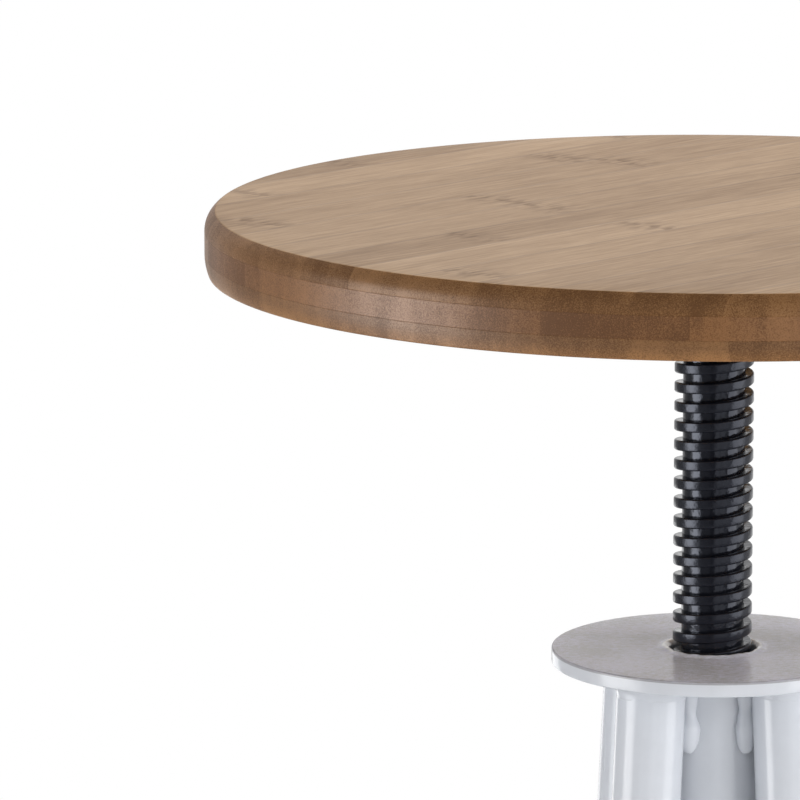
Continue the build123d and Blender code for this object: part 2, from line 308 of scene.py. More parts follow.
def bambooFinish(name, ply, grain, warmth, edgeGloss, bottom=None):
    b = bamboo
    finish, tree, shader = newFinish(name)
    plain = tree.nodes.new("ShaderNodeTexCoord").outputs["Object"]
    where = objectPlace(tree, math.radians(grain))
    split = add(tree, "ShaderNodeSeparateXYZ", {0: where})
    along, across = split.outputs[0], calc(tree, "SUBTRACT", split.outputs[1], strips[ply]["start"])
    rim = spread(tree, fromAxis(tree, plain), b["edgeFrom"], b["edgeTo"])
    face = inverse(tree, rim)
    waver = noiseValue(tree, stretched(tree, where, b["waverGrain"]), 1.0, 1.0)
    across = calc(tree, "MULTIPLY_ADD", offMiddle(tree, waver), b["waver"], across)
    stripAt = calc(tree, "DIVIDE", across, b["stripWidth"])
    tone, shift = stripTable(tree, calc(tree, "FLOOR", stripAt), ply)
    # each strip has fibres of its own
    far, deep = b["ownShift"]
    own = {0: calc(tree, "MULTIPLY", shift, far), 2: calc(tree, "MULTIPLY", tone, deep)}
    own = add(tree, "ShaderNodeCombineXYZ", own).outputs[0]
    own = add(tree, "ShaderNodeVectorMath", {0: where, 1: own}, operation="ADD").outputs[0]
    fibre = noiseValue(tree, stretched(tree, own, b["fibreGrain"]), 1.0, 3.0, 0.85)
    streak = noiseValue(tree, stretched(tree, own, b["streakGrain"]), 1.0, 2.0, 0.6)
    cloud = noiseValue(tree, stretched(tree, where, b["cloudGrain"]), 1.0, 2.0)
    figure = calc(tree, "MULTIPLY", offMiddle(tree, fibre), b["fibreAmount"])
    figure = calc(tree, "MULTIPLY_ADD", offMiddle(tree, streak), b["streakAmount"], figure)
    fading = calc(tree, "MULTIPLY_ADD", rim, -b["edgeFibreLoss"], 1.0)
    level = calc(tree, "MULTIPLY_ADD", figure, fading, 0.5)
    contrast = spread(tree, rim, 0.0, 1.0, *b["toneAmount"])
    level = calc(tree, "MULTIPLY_ADD", offMiddle(tree, tone), contrast, level)
    level = calc(tree, "MULTIPLY_ADD", offMiddle(tree, cloud), b["cloudAmount"], level)
    # the cut edge shows the fibres' ends
    speckle = noiseValue(tree, plain, b["speckleScale"], 2.0, 0.8)
    blotch = noiseValue(tree, stretched(tree, plain, b["blotchGrain"]), 1.0, 3.0, 0.6)
    grit = calc(tree, "MULTIPLY", offMiddle(tree, blotch), b["blotchAmount"])
    grit = calc(tree, "MULTIPLY_ADD", offMiddle(tree, speckle), b["speckleAmount"], grit)
    level = calc(tree, "MULTIPLY_ADD", grit, rim, level, clamp=True)
    light = tuple(c * w for c, w in zip(b["light"], warmth))
    dark = tuple(c * w for c, w in zip(b["dark"], warmth))
    colour = ramp(tree, level, [(0.0, dark), (1.0, light)])
    flecks = calc(tree, "MULTIPLY", fleckMarks(tree, where, along, shift, waver), face)
    colour = blendColour(tree, calc(tree, "MULTIPLY", flecks, b["fleckAmount"]), colour, (*b["fleck"], 1))
    # hairline between strips
    hair = calc(tree, "GREATER_THAN", calc(tree, "FRACT", stripAt), b["hairlineFrom"])
    hair = calc(tree, "MULTIPLY", calc(tree, "MULTIPLY", hair, face), b["hairAmount"])
    colour = blendColour(tree, hair, colour, (*b["fleck"], 1))
    # painted shade: the cut edge is painted darker, where less light falls on it
    colour = blendColour(tree, rim, colour, (*b["edgeShadeTint"], 1), "MULTIPLY")
    if bottom:
        # painted light: the lower arris is painted paler, as the white floor below lights it
        low, high = bottom + b["floorLightFrom"], bottom + b["floorLightTo"]
        floorLitRamp = spread(tree, heightOf(tree, plain), low, high, 1.0, 0.0)
        floorLitEdge = calc(tree, "MULTIPLY", floorLitRamp, rim)
        colour = blendColour(tree, floorLitEdge, colour, (*b["floorLightTint"], 1), "MULTIPLY")
    tree.links.new(colour, shader.inputs["Base Color"])
    # dark fibres are open pores with less lacquer
    rough = calc(tree, "MULTIPLY_ADD", level, -0.1, b["roughness"] + 0.05)
    tree.links.new(rough, shader.inputs["Roughness"])
    gloss = spread(tree, level, 0.0, 1.0, *b["gloss"])
    gloss = calc(tree, "MULTIPLY", gloss, calc(tree, "MULTIPLY_ADD", flecks, -b["fleckDullness"], 1.0))
    gloss = calc(tree, "MULTIPLY_ADD", rim, edgeGloss, gloss)
    tree.links.new(gloss, shader.inputs["Specular IOR Level"])
    bumpFrom(tree, shader, fibre, b["bump"], b["bumpDepth"])
    return finish


# Gloss enamel: a slight orange peel and a little uneven gloss
enamel = {
    "white": (0.575, 0.597, 0.64),
    "black": (0.006, 0.0064, 0.0098),
    # partly dust, partly painted light that lifts the seat's shade on the plate top
    "dustAndLightColour": (0.735, 0.76, 0.9),
    # painted highlight on the paint ring round the hole
    "ringHighlightColour": (0.86, 0.87, 0.89),
    "rimTint": (0.58, 0.56, 0.55),
    "ringFrom": 0.0158,
    "ringTo": 0.0166,
    "rimFrom": 0.0518,
    "rimTo": 0.0521,
    "filmDepth": 0.0006,
    "filmFade": 0.0004,
    "rimDepth": 0.0009,
    "smearGrain": (420.0, 560.0, 60.0),
    "patchScale": 42.0,
    "grainScale": 5200.0,
    "grainShare": 0.51,
    "filmContrast": 4.0,
    "patchContrast": (2.5, -2.75),
    "mottleScale": 62.0,
    "mottleShade": 0.94,
    "speckScale": 2600.0,
    "speckFrom": 0.76,
    "speckAmount": 0.12,
    "speckShade": 0.55,
    "swellScale": 0.22,
    "swellAmount": 1.6,
    "bumpDepth": 0.0004,
    "crestFrom": 0.0110,
    "crestTo": 0.0124,
    "crestGlossTint": (0.8, 0.85, 1.0),
}


# A level face that people reach is rubbed and dusty; its dust film is painted lighter than the paint,
# painted light that lifts the seat's shade; the ring round its hole is painted whiter, a painted
# highlight; and its outer arris is darker
def dustAndLightTop(tree, shader, where, tint, top):
    e = enamel
    height, far = heightOf(tree, where), fromAxis(tree, where)
    level = spread(tree, height, top - e["filmDepth"], top - e["filmDepth"] + e["filmFade"])
    outside = spread(tree, far, e["ringFrom"], e["ringTo"])
    ring = calc(tree, "MULTIPLY", level, inverse(tree, outside))
    # painted highlight: the ring round the hole is painted whiter than the paint
    tint = blendColour(tree, ring, tint, (*e["ringHighlightColour"], 1))
    dustAndLight = calc(tree, "MULTIPLY", level, outside)
    smear = noiseValue(tree, stretched(tree, where, e["smearGrain"]), 1.0, 4.0, 0.75)
    patchy = noiseValue(tree, where, e["patchScale"], 2.0)
    patchy = calc(tree, "MULTIPLY_ADD", patchy, *e["patchContrast"])
    dustAndLightMix = calc(tree, "MULTIPLY_ADD", smear, e["filmContrast"], patchy, clamp=True)
    dustAndLightMix = calc(tree, "MULTIPLY", dustAndLight, dustAndLightMix)
    # partly dust, partly painted light: the film lightens the top that the seat shades
    tint = blendColour(tree, dustAndLightMix, tint, (*e["dustAndLightColour"], 1))
    rim = spread(tree, far, e["rimFrom"], e["rimTo"])
    rim = calc(tree, "MULTIPLY", rim, calc(tree, "GREATER_THAN", height, top - e["rimDepth"]))
    tint = blendColour(tree, rim, tint, (*e["rimTint"], 1), "MULTIPLY")
    grains = calc(tree, "GREATER_THAN", noiseValue(tree, where, e["grainScale"], 1.0), e["grainShare"])
    matt = calc(tree, "MULTIPLY", calc(tree, "MULTIPLY", dustAndLight, grains), -0.5)
    tree.links.new(calc(tree, "ADD", matt, 0.5), shader.inputs["Specular IOR Level"])
    return tint


def enamelFinish(name, colour, roughness, peel, peelScale, crestWear=0.0, dustAndLightAt=None):
    finish, tree, shader = newFinish(name)
    where = objectPlace(tree)
    e = enamel
    mottling = noiseValue(tree, where, e["mottleScale"], 4.0, 0.6)
    dust = noiseValue(tree, where, e["speckScale"], 1.0)
    tint = ramp(tree, mottling, [(0.3, tuple(c * e["mottleShade"] for c in colour)), (0.7, colour)])
    speck = calc(tree, "GREATER_THAN", dust, e["speckFrom"])
    speck = calc(tree, "MULTIPLY", speck, e["speckAmount"])
    tint = blendColour(tree, speck, tint, (*(c * e["speckShade"] for c in colour), 1))
    rough = calc(tree, "MULTIPLY_ADD", mottling, 0.08, roughness - 0.04)
    if dustAndLightAt:
        tint = dustAndLightTop(tree, shader, where, tint, dustAndLightAt)
    tree.links.new(tint, shader.inputs["Base Color"])
    if crestWear:
        # the nut has worn the thread's crest
        shader.inputs["Specular Tint"].default_value = (*e["crestGlossTint"], 1)
        worn = spread(tree, fromAxis(tree, where), e["crestFrom"], e["crestTo"], 0.0, crestWear)
        rough = calc(tree, "ADD", rough, worn)
    tree.links.new(rough, shader.inputs["Roughness"])
    wave = noiseValue(tree, where, peelScale, 2.0)
    swell = noiseValue(tree, where, peelScale * e["swellScale"], 1.0)
    peeled = calc(tree, "MULTIPLY_ADD", swell, e["swellAmount"], wave)
    bumpFrom(tree, shader, peeled, peel, e["bumpDepth"])
    return finish


def metalFinish(name, colour, roughness, brushed):
    finish, tree, shader = newFinish(name)
    where = objectPlace(tree)
    grain = noiseValue(tree, stretched(tree, where, brushed), 1.0, 3.0)
    cloud = noiseValue(tree, where, 60.0, 3.0)
    tint = ramp(tree, cloud, [(0.3, tuple(c * 0.82 for c in colour)), (0.7, colour)])
    tree.links.new(tint, shader.inputs["Base Color"])
    shader.inputs["Metallic"].default_value = 1.0
    tree.links.new(calc(tree, "MULTIPLY_ADD", cloud, 0.2, roughness - 0.1), shader.inputs["Roughness"])
    bumpFrom(tree, shader, grain, 0.12, 0.0003)
    return finish


def plasticFinish(name, colour, roughness, grainScale):
    finish, tree, shader = newFinish(name)
    where = objectPlace(tree)
    grain = noiseValue(tree, where, grainScale, 2.0)
    scuff = noiseValue(tree, stretched(tree, where, (60.0, 60.0, 420.0)), 1.0, 4.0)
    tint = ramp(tree, scuff, [(0.35, tuple(c * 0.85 for c in colour)), (0.65, colour)])
    tree.links.new(tint, shader.inputs["Base Color"])
    tree.links.new(calc(tree, "MULTIPLY_ADD", scuff, 0.2, roughness - 0.1), shader.inputs["Roughness"])
    bumpFrom(tree, shader, grain, 0.18, 0.0004)
    return finish


seatWood = bambooFinish("seatBamboo", "top", bamboo["grain"], (1.045, 1.06, 1.09), 0.02)
coreWood = bambooFinish("coreBamboo", "core", bamboo["grain"] + 90, (1.02, 0.96, 0.9), 0.2)
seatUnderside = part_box("seat_bottom_ply")[0][2]
lowerWood = bambooFinish("lowerBamboo", "lower", bamboo["grain"], (1, 1, 1), 0.2, seatUnderside)
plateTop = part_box("top_plate")[1][2]
whiteEnamel = enamelFinish("whiteEnamel", enamel["white"], 0.13, 0.07, 700.0, dustAndLightAt=plateTop)
blackEnamel = enamelFinish("blackEnamel", enamel["black"], 0.11, 0.3, 520.0, crestWear=0.1)
zincPlate = metalFinish("zincPlate", (0.56, 0.57, 0.59), 0.34, (90.0, 90.0, 1400.0))
brassTurned = metalFinish("brassTurned", (0.72, 0.53, 0.24), 0.3, (80.0, 80.0, 1600.0))
naturalNylon = plasticFinish("naturalNylon", (0.75, 0.73, 0.68), 0.5, 900.0)
greyPlastic = plasticFinish("greyPlastic", (0.45, 0.46, 0.47), 0.55, 1500.0)
# painted shade: near-black steel for the nut, which sits in shade deep in the plate's hole
shadedNutSteel = metalFinish("shadedNutSteel", (0.10, 0.10, 0.105), 0.38, (90.0, 90.0, 1400.0))
finishOfSlot = {
    "seat_wood": seatWood,
    "core_wood": coreWood,
    "black_paint": blackEnamel,
    "white_paint": whiteEnamel,
    "zinc_steel": zincPlate,
    "insert_brass": brassTurned,
    "bush_plastic": naturalNylon,
    "grey_plastic": greyPlastic,
}
print("finishes made")

# CAD nodes that stay keep their shape and take the finish of their slot
for row in frame["record"]["subparts"]:
    kept = frame["nodes"][row["node"]]
    kept.data.materials.clear()
    kept.data.materials.append(finishOfSlot[row["material_slot"]])
# painted shade: the nut deep in the hole takes the near-black steel in place of its slot's zinc
frame["nodes"]["spindle_nut"].data.materials[0] = shadedNutSteel


def place(piece, body, slot, finish, *nodes):
    piece.data.materials.clear()
    piece.data.materials.append(finish)
    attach(piece, body)
    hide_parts(*nodes)


# Seat
seat = {
    "radius": 0.165,
    "topInset": 0.0035,
    "bottomInset": 0.0013,
    "arrisSoft": 0.0004,
    "glueGroove": 0.00006,
    "around": 384,
    "edgeSteps": 14,
    "arrisSteps": 4,
}


# Outer run of a ply's edge, from its widest line to the crisp line where it meets the face
def edgeRun(inset, depth):
    bow = (inset * inset + depth * depth) / (2 * inset)
    sweep = math.atan2(depth, bow - inset)
    soft = seat["arrisSoft"]
    run = []
    for step in range(seat["edgeSteps"] + 1):
        turn = sweep * step / seat["edgeSteps"]
        run.append((seat["radius"] - bow * (1 - math.cos(turn)), bow * math.sin(turn)))
    tipRadius, tipHeight = run.pop()
    backRadius, backHeight = tipRadius + soft * math.sin(sweep), tipHeight - soft * math.cos(sweep)
    run = [point for point in run if point[1] < backHeight - soft * 0.4]
    for step in range(seat["arrisSteps"] + 1):
        share = step / seat["arrisSteps"]
        one, two, three = (1 - share) ** 2, 2 * share * (1 - share), share ** 2
        run.append((
            one * backRadius + two * tipRadius + three * (tipRadius - soft),
            one * backHeight + two * tipHeight + three * tipHeight,
        ))
    return run


def plyProfile(low, high, lowInset, highInset):
    groove = seat["glueGroove"]
    radius = seat["radius"]
    run = [(0.0, low), (radius * 0.5, low), (radius * 0.9, low)]
    if lowInset:
        run += [(r, high - rise) for r, rise in reversed(edgeRun(lowInset, high - low))][:-1]
    else:
        run += [(radius - 3 * groove, low), (radius - groove, low), (radius, low + groove * 1.4)]
    if highInset:
        run += [(r, low + rise) for r, rise in edgeRun(highInset, high - low)][1:]
    else:
        run += [(radius, high - groove * 1.4), (radius - groove, high), (radius - 3 * groove, high)]
    return run + [(radius * 0.9, high), (radius * 0.5, high), (0.0, high)]


def buildSeat():
    for node, slot, finish, rounds in (
        ("seat_top_ply", "seat_wood", seatWood, (0, seat["topInset"])),
        ("seat_core_ply", "core_wood", coreWood, (0, 0)),
        ("seat_bottom_ply", "seat_wood", lowerWood, (seat["bottomInset"], 0)),
    ):
        low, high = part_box(node)
        verts, faces = turnedData(plyProfile(low[2], high[2], *rounds), seat["around"])
        ply = pieceFromData(node + "_board", verts, faces)
        place(ply, "seat", slot, finish, node)
    print("seat boards made")


buildSeat()


# Geometry Nodes

def newTree(name, inputs):
    tree = bpy.data.node_groups.new(name, "GeometryNodeTree")
    tree.interface.new_socket("Geometry", in_out="OUTPUT", socket_type="NodeSocketGeometry")
    tree.interface.new_socket("Geometry", in_out="INPUT", socket_type="NodeSocketGeometry")
    for label, kind in inputs:
        tree.interface.new_socket(label, in_out="INPUT", socket_type=kind)
    return tree, tree.nodes.new("NodeGroupInput"), tree.nodes.new("NodeGroupOutput")


def endTree(tree, result, source, out):
    solid = add(tree, "GeometryNodeRealizeInstances", {0: result})
    wires = {"Geometry": solid.outputs[0], "Material": source.outputs["Finish"]}
    painted = add(tree, "GeometryNodeSetMaterial", wires)
    tree.links.new(painted.outputs[0], out.inputs[0])


def runTree(carrier, tree, values):
    holder = carrier.modifiers.new(tree.name, "NODES")
    holder.node_group = tree
    for item in tree.interface.items_tree:
        if item.in_out == "INPUT" and item.name in values:
            holder[item.identifier] = values[item.name]
    graph = bpy.context.evaluated_depsgraph_get()
    mesh = bpy.data.meshes.new_from_object(carrier.evaluated_get(graph), depsgraph=graph)
    name = carrier.name
    bpy.data.objects.remove(carrier)
    piece = bpy.data.objects.new(name, mesh)
    mesh.name = name
    scene.collection.objects.link(piece)
    return piece


def emptyCarrier(name):
    carrier = bpy.data.objects.new(name, bpy.data.meshes.new(name + "_start"))
    scene.collection.objects.link(carrier)
    return carrier


def pathCarrier(name, points, closed=False):
    curve = bpy.data.curves.new(name, "CURVE")
    curve.dimensions = "3D"
    spline = curve.splines.new("POLY")
    spline.points.add(len(points) - 1)
    for point, spot in zip(spline.points, points):
        point.co = (*spot, 1)
    spline.use_cyclic_u = closed
    carrier = bpy.data.objects.new(name, curve)
    scene.collection.objects.link(carrier)
    return carrier


# Lead screw
screw = {
    "radius": 0.0129,
    "rootRadius": 0.0101,
    "pitch": 0.00635,
    "crestWidth": 0.0026,
    "flankRun": 0.0004,
    "edgeRound": 0.0006,
    "bottom": 0.5562,
    "top": 0.7044,
    "phaseHeight": 0.6008,
    "embed": 0.0006,
    "runOut": 0.35,
    "runOutDepth": 0.95,
    "endMargin": 0.35,
    "endSoft": 0.0005,
    "stepsPerTurn": 72,
    "journalRadius": 0.008,
    "journalBottom": 0.5356,
    "neckTop": 0.7204,
    "spigotRadius": 0.009,
    "spigotTop": 0.7239,
}


# A ridge of trapezium section that follows a spiral
def spiralRidgeTree():
    tree, source, out = newTree("spiralRidge", [
        ("Turns", "NodeSocketFloat"),
        ("Height", "NodeSocketFloat"),
        ("Path Radius", "NodeSocketFloat"),
        ("Base Width", "NodeSocketFloat"),
        ("Crest Width", "NodeSocketFloat"),
        ("Depth", "NodeSocketFloat"),
        ("Edge Round", "NodeSocketFloat"),
        ("Steps", "NodeSocketInt"),
        ("Finish", "NodeSocketMaterial"),
    ])
    into = source.outputs
    spiral = add(tree, "GeometryNodeCurveSpiral", {
        "Resolution": into["Steps"],
        "Rotations": into["Turns"],
        "Start Radius": into["Path Radius"],
        "End Radius": into["Path Radius"],
        "Height": into["Height"],
        "Reverse": True,
    })
    upright = add(tree, "GeometryNodeSetCurveNormal", {0: spiral.outputs[0]}, mode="Z_UP")
    section = add(tree, "GeometryNodeCurvePrimitiveQuadrilateral", {
        "Bottom Width": into["Base Width"],
        "Top Width": into["Crest Width"],
        "Height": into["Depth"],
        "Offset": 0.0,
    }, mode="TRAPEZOID")
    softer = add(tree, "GeometryNodeFilletCurve", {
        "Curve": section.outputs[0],
        "Radius": into["Edge Round"],
        "Count": 4,
    }, mode="POLY")
    lying = add(tree, "GeometryNodeTransform", {
        "Geometry": softer.outputs[0],
        "Rotation": (0, 0, math.pi / 2),
    })
    ridge = add(tree, "GeometryNodeCurveToMesh", {
        "Curve": upright.outputs[0],
        "Profile Curve": lying.outputs[0],
        "Fill Caps": True,
    })
    endTree(tree, ridge.outputs[0], source, out)
    return tree


# The first and the last part of a turn sink into the core
def runOutEnds(ridge, turns, depth):
    s = screw
    span = turns * s["pitch"]
    for vert in ridge.data.vertices:
        radius = math.hypot(vert.co.x, vert.co.y)
        turn = (vert.co.z / span) * turns
        fromEnd = min(turn, turns - turn)
        share = max(0.0, min(1.0, fromEnd / s["runOut"]))
        sunk = radius - depth * (1 - math.sin(share * math.pi / 2)) * s["runOutDepth"]
        vert.co.x *= sunk / radius
        vert.co.y *= sunk / radius


def joinPieces(name, pieces):
    work = bmesh.new()
    for piece in pieces:
        work.from_mesh(piece.data)
        bpy.data.objects.remove(piece)
    mesh = bpy.data.meshes.new(name)
    work.to_mesh(mesh)
    work.free()
    joined = bpy.data.objects.new(name, mesh)
    scene.collection.objects.link(joined)
    return joined


def buildScrew():
    s = screw
    depth = s["radius"] - s["rootRadius"] + s["embed"]
    low = s["bottom"] + s["pitch"] * s["endMargin"]
    turns = (s["top"] - s["pitch"] * s["endMargin"] - low) / s["pitch"]
    baseWidth = s["crestWidth"] + 2 * s["flankRun"] * depth / (s["radius"] - s["rootRadius"])
    ridge = runTree(emptyCarrier("screw_ridge"), spiralRidgeTree(), {
        "Turns": turns,
        "Height": turns * s["pitch"],
        "Path Radius": s["radius"] - depth / 2,
        "Base Width": baseWidth,
        "Crest Width": s["crestWidth"],
        "Depth": depth,
        "Edge Round": s["edgeRound"],
        "Steps": s["stepsPerTurn"],
        "Finish": blackEnamel,
    })
    runOutEnds(ridge, turns, depth)
    startAngle = math.tau * ((low - s["phaseHeight"]) / s["pitch"])
    ridge.data.transform(Matrix.Translation((0, 0, low)) @ Matrix.Rotation(startAngle, 4, "Z"))
    soft = s["endSoft"]
    core = [
        (0, s["journalBottom"]),
        (s["journalRadius"] - soft, s["journalBottom"]),
        (s["journalRadius"], s["journalBottom"] + soft),
        (s["journalRadius"], s["bottom"]),
        (s["rootRadius"] - soft, s["bottom"]),
        (s["rootRadius"], s["bottom"] + soft),
        (s["rootRadius"], s["neckTop"]),
        (s["spigotRadius"], s["neckTop"]),
        (s["spigotRadius"], s["spigotTop"]),
        (0, s["spigotTop"]),
    ]
    shaft = pieceFromData("screw_core", *turnedData(core, 128))
    whole = joinPieces("screw_thread", [ridge, shaft])
    smoothPiece(whole, 40)
    place(whole, "seat", "black_paint", blackEnamel, "screw_spindle")
    print("screw made", len(whole.data.polygons))


buildScrew()

# Weld beads: smooth lumps of paint-covered metal
weld = {
    "ripple": 0.00030,
    "rippleScale": 210.0,
    "sink": 0.0003,
    "bite": 0.001,
    "spindleBead": 0.005,
    "plateBead": 0.006,
    "columnBeadTop": 0.0026,
    "columnBeadFoot": 0.0034,
    "columnBeadWaist": 0.00055,
    "columnBeadSway": 0.0005,
    "columnBeadLength": 0.023,
    "columnBeadSpread": 0.002,
    "barBead": 0.0036,
    "barBeadLength": 0.012,
    "barBeadBluntness": 2.6,
    "barBeadTallness": 1.1,
    "barBeadTip": 0.0001,
    "columnBeadTip": 0.00012,
    "columnBeadTail": 1.25,
    "fullRippleFrom": 0.001,
}


def lump(spot, amount):
    return noise.noise(Vector(spot) * weld["rippleScale"]) * amount


# An outline's points have a third value, which says how freely the bead swells there
def ringBead(centreAt, outline, around, keepOut):
    verts, faces = [], []
    count = len(outline)
    for step in range(around):
        angle = math.tau * step / around
        for radius, height, free in outline:
            cx, cy = centreAt(height)
            x, y = cx + radius * math.cos(angle), cy + radius * math.sin(angle)
            if free:
                grown = radius + lump((x, y, height), weld["ripple"] * 2) * free
                x, y = cx + grown * math.cos(angle), cy + grown * math.sin(angle)
            far = math.hypot(x, y)
            if keepOut and far < keepOut:
                x, y = x * keepOut / far, y * keepOut / far
            verts.append((x, y, height))
        here, there = step * count, (step + 1) % around * count
        for index in range(count):
            nxt = (index + 1) % count
            faces.append((here + index, here + nxt, there + nxt, there + index))
    return verts, faces


# Hollow fillet from the flat above to the round below, running smoothly into both
def filletOutline(inner, size, flat, steps):
    sink = weld["sink"]
    run = [(inner - sink, flat + sink, 0), (inner + size, flat + sink, 0)]
    for i in range(steps + 1):
        turn = math.pi / 2 * i / steps
        out, down = 1 - math.sin(turn), 1 - math.cos(turn)
        run.append((inner + size * out, flat - size * down, math.sin(2 * turn)))
    run.append((inner - sink, flat - size - sink, 0))
    return run


def buildSpindleWeld():
    outline = filletOutline(screw["rootRadius"], weld["spindleBead"], screw["neckTop"], 8)
    bead = pieceFromData("spindle_bead", *ringBead(lambda height: (0, 0), outline, 128, 0))
    place(bead, "seat", "black_paint", blackEnamel, "spindle_weld")


buildSpindleWeld()

# Top plate; the lip's points are millimetres outwards from the hole and up from the top
plate = {
    "radius": 0.0524,
    "top": 0.6,
    "underside": 0.595,
    "edge": 0.0006,
    "hole": 0.0143,
    "lip": [
        (4.2, 0.03), (3.4, 0.16), (2.7, 0.42), (2.0, 0.62), (1.4, 0.62),
        (0.8, 0.4), (0.35, 0.02), (0.1, -0.5), (0, -1.2),
    ],
    "lipReach": 0.0052,
    "lipFoot": 0.0054,
    "lipRise": ((190, 0.0004), (420, 0.00018)),
    "lipSway": ((150, 0.0003), (480, 0.00014)),
    "paintRun": 0.0006,
    "paintRunAngle": 172,
}


def waviness(spot, rows):
    return sum(noise.noise(spot * scale) * amount for scale, amount in rows)


# The paint stands up in an uneven ring around the hole
def wobblyLip(radius, height, angle):
    near = max(0.0, 1 - (radius - plate["hole"]) / plate["lipReach"])
    spot = Vector((math.cos(angle) * 0.02, math.sin(angle) * 0.02, height * 0.2))
    raised = near if height > plate["top"] + 1e-5 else 0.0
    high = raised * waviness(spot, plate["lipRise"])
    run = max(0.0, math.cos(angle - math.radians(plate["paintRunAngle"]))) ** 2 * plate["paintRun"]
    return radius + near * (waviness(spot, plate["lipSway"]) - run), height + high


def buildPlate():
    low, high, edge = plate["underside"], plate["top"], plate["edge"]
    rim, hole = plate["radius"], plate["hole"]
    run = [(hole, low), (hole + 0.004, low), (rim * 0.7, low)]
    run += arcPoints((rim - edge, low + edge), edge, -90, 0, 5)
    run += arcPoints((rim - edge, high - edge), edge, 0, 90, 5)
    run += [(rim * 0.8, high), (rim * 0.5, high), (hole + plate["lipFoot"], high)]
    run += [(hole + out * 0.001, high + up * 0.001) for out, up in plate["lip"]]
    run += [(hole, low)]
    disc = pieceFromData("top_plate_disc", *turnedData(run, 320, wobblyLip))
    place(disc, "frame", "white_paint", whiteEnamel, "top_plate")


# Column
column = {
    "radius": 0.01925,
    "bore": 0.017,
    "bottom": 0.393575,
    "soft": 0.0003,
    "rings": (0.45, 0.52),
}


def buildColumn():
    low, high, soft = column["bottom"], plate["underside"], column["soft"]
    outer, inner = column["radius"], column["bore"]
    run = [(inner, low), (outer - soft, low), (outer, low + soft)]
    run += [(outer, height) for height in column["rings"]]
    run += [(outer, high), (inner, high), (inner, low)]
    pipe = pieceFromData("column_pipe", *turnedData(run, 160))
    place(pipe, "frame", "white_paint", whiteEnamel, "column_tube")


# Legs and footrest
leg = {
    "angles": {"front_left": 225, "front_right": 315, "back_right": 45, "back_left": 135},
    "radius": 0.0112,
    "reach": 0.0307,
    "intoPlate": 0.0007,
    "neckLength": 0.055,
    "neckLean": 3.4,
    "bendRadius": 0.2,
    "bendSteps": 28,
    "lean": 21.0,
    "footHeight": 0.005,
    "sides": 72,
}
footrest = {
    "radius": 0.1242996,
    "height": 0.23,
    "bar": 0.006,
    "steps": 240,
    "sides": 40,
}


# A round bar or tube along the carrier's path
def roundAlongPathTree():
    tree, source, out = newTree("roundAlongPath", [
        ("Radius", "NodeSocketFloat"),
        ("Sides", "NodeSocketInt"),
        ("Finish", "NodeSocketMaterial"),
    ])
    into = source.outputs
    wires = {"Resolution": into["Sides"], "Radius": into["Radius"]}
    section = add(tree, "GeometryNodeCurvePrimitiveCircle", wires)
    upright = add(tree, "GeometryNodeSetCurveNormal", {0: into["Geometry"]}, mode="MINIMUM_TWIST")
    tube = add(tree, "GeometryNodeCurveToMesh", {
        "Curve": upright.outputs[0],
        "Profile Curve": section.outputs[0],
        "Fill Caps": True,
    })
    endTree(tree, tube.outputs[0], source, out)
    return tree


def legRun():
    neck, lean, bend = math.radians(leg["neckLean"]), math.radians(leg["lean"]), leg["bendRadius"]
    into = leg["intoPlate"]
    run = [(leg["reach"] - into * math.tan(neck), plate["underside"] + into)]
    reach = leg["reach"] + leg["neckLength"] * math.tan(neck)
    height = plate["underside"] - leg["neckLength"]
    for i in range(leg["bendSteps"] + 1):
        angle = neck + (lean - neck) * i / leg["bendSteps"]
        out, down = math.cos(neck) - math.cos(angle), math.sin(angle) - math.sin(neck)
        run.append((reach + bend * out, height - bend * down))
    last = run[-1]
    run.append((last[0] + (last[1] - leg["footHeight"]) * math.tan(lean), leg["footHeight"]))
    return run


def legPoint(angle, reach, height):
    turn = math.radians(angle)
    return reach * math.cos(turn), reach * math.sin(turn), height


# The foot is sawn level, so the last ring of the tube slides along it to the glide's top
def levelFoot(tube, angle):
    lean = math.radians(leg["lean"])
    for vert in tube.data.vertices:
        drop = vert.co.z - leg["footHeight"]
        if abs(drop) < leg["radius"] * math.sin(lean) + 1e-5:
            side = legPoint(angle, drop * math.tan(lean), 0)
            vert.co += Vector((side[0], side[1], -drop))


def buildLegs():
    tree = roundAlongPathTree()
    run = legRun()
    for where, angle in leg["angles"].items():
        path = [legPoint(angle, reach, height) for reach, height in run]
        tube = runTree(pathCarrier("leg_" + where + "_tube", path), tree, {
            "Radius": leg["radius"],
            "Sides": leg["sides"],
            "Finish": whiteEnamel,
        })
        levelFoot(tube, angle)
        smoothPiece(tube, 40)
        place(tube, "frame", "white_paint", whiteEnamel, "leg_" + where)
    steps = footrest["steps"]
    circle = [legPoint(360 * i / steps, footrest["radius"], footrest["height"]) for i in range(steps)]
    bar = runTree(pathCarrier("footrest_bar", circle, True), tree, {
        "Radius": footrest["bar"],
        "Sides": footrest["sides"],
        "Finish": whiteEnamel,
    })
    smoothPiece(bar, 40)
    place(bar, "frame", "white_paint", whiteEnamel, "footrest_ring")
    print("legs and footrest made")


# Faces between the rings of a bead, with a cap at each end
def beadFaces(first, rows, around):
    faces = []
    for row in range(rows):
        a, c = first + row * around, first + (row + 1) * around
        for step in range(around):
            nxt = (step + 1) % around
            faces.append((a + step, a + nxt, c + nxt, c + step))
    faces.append(tuple(first + step for step in range(around)))
    faces.append(tuple(first + rows * around + step for step in reversed(range(around))))
    return faces


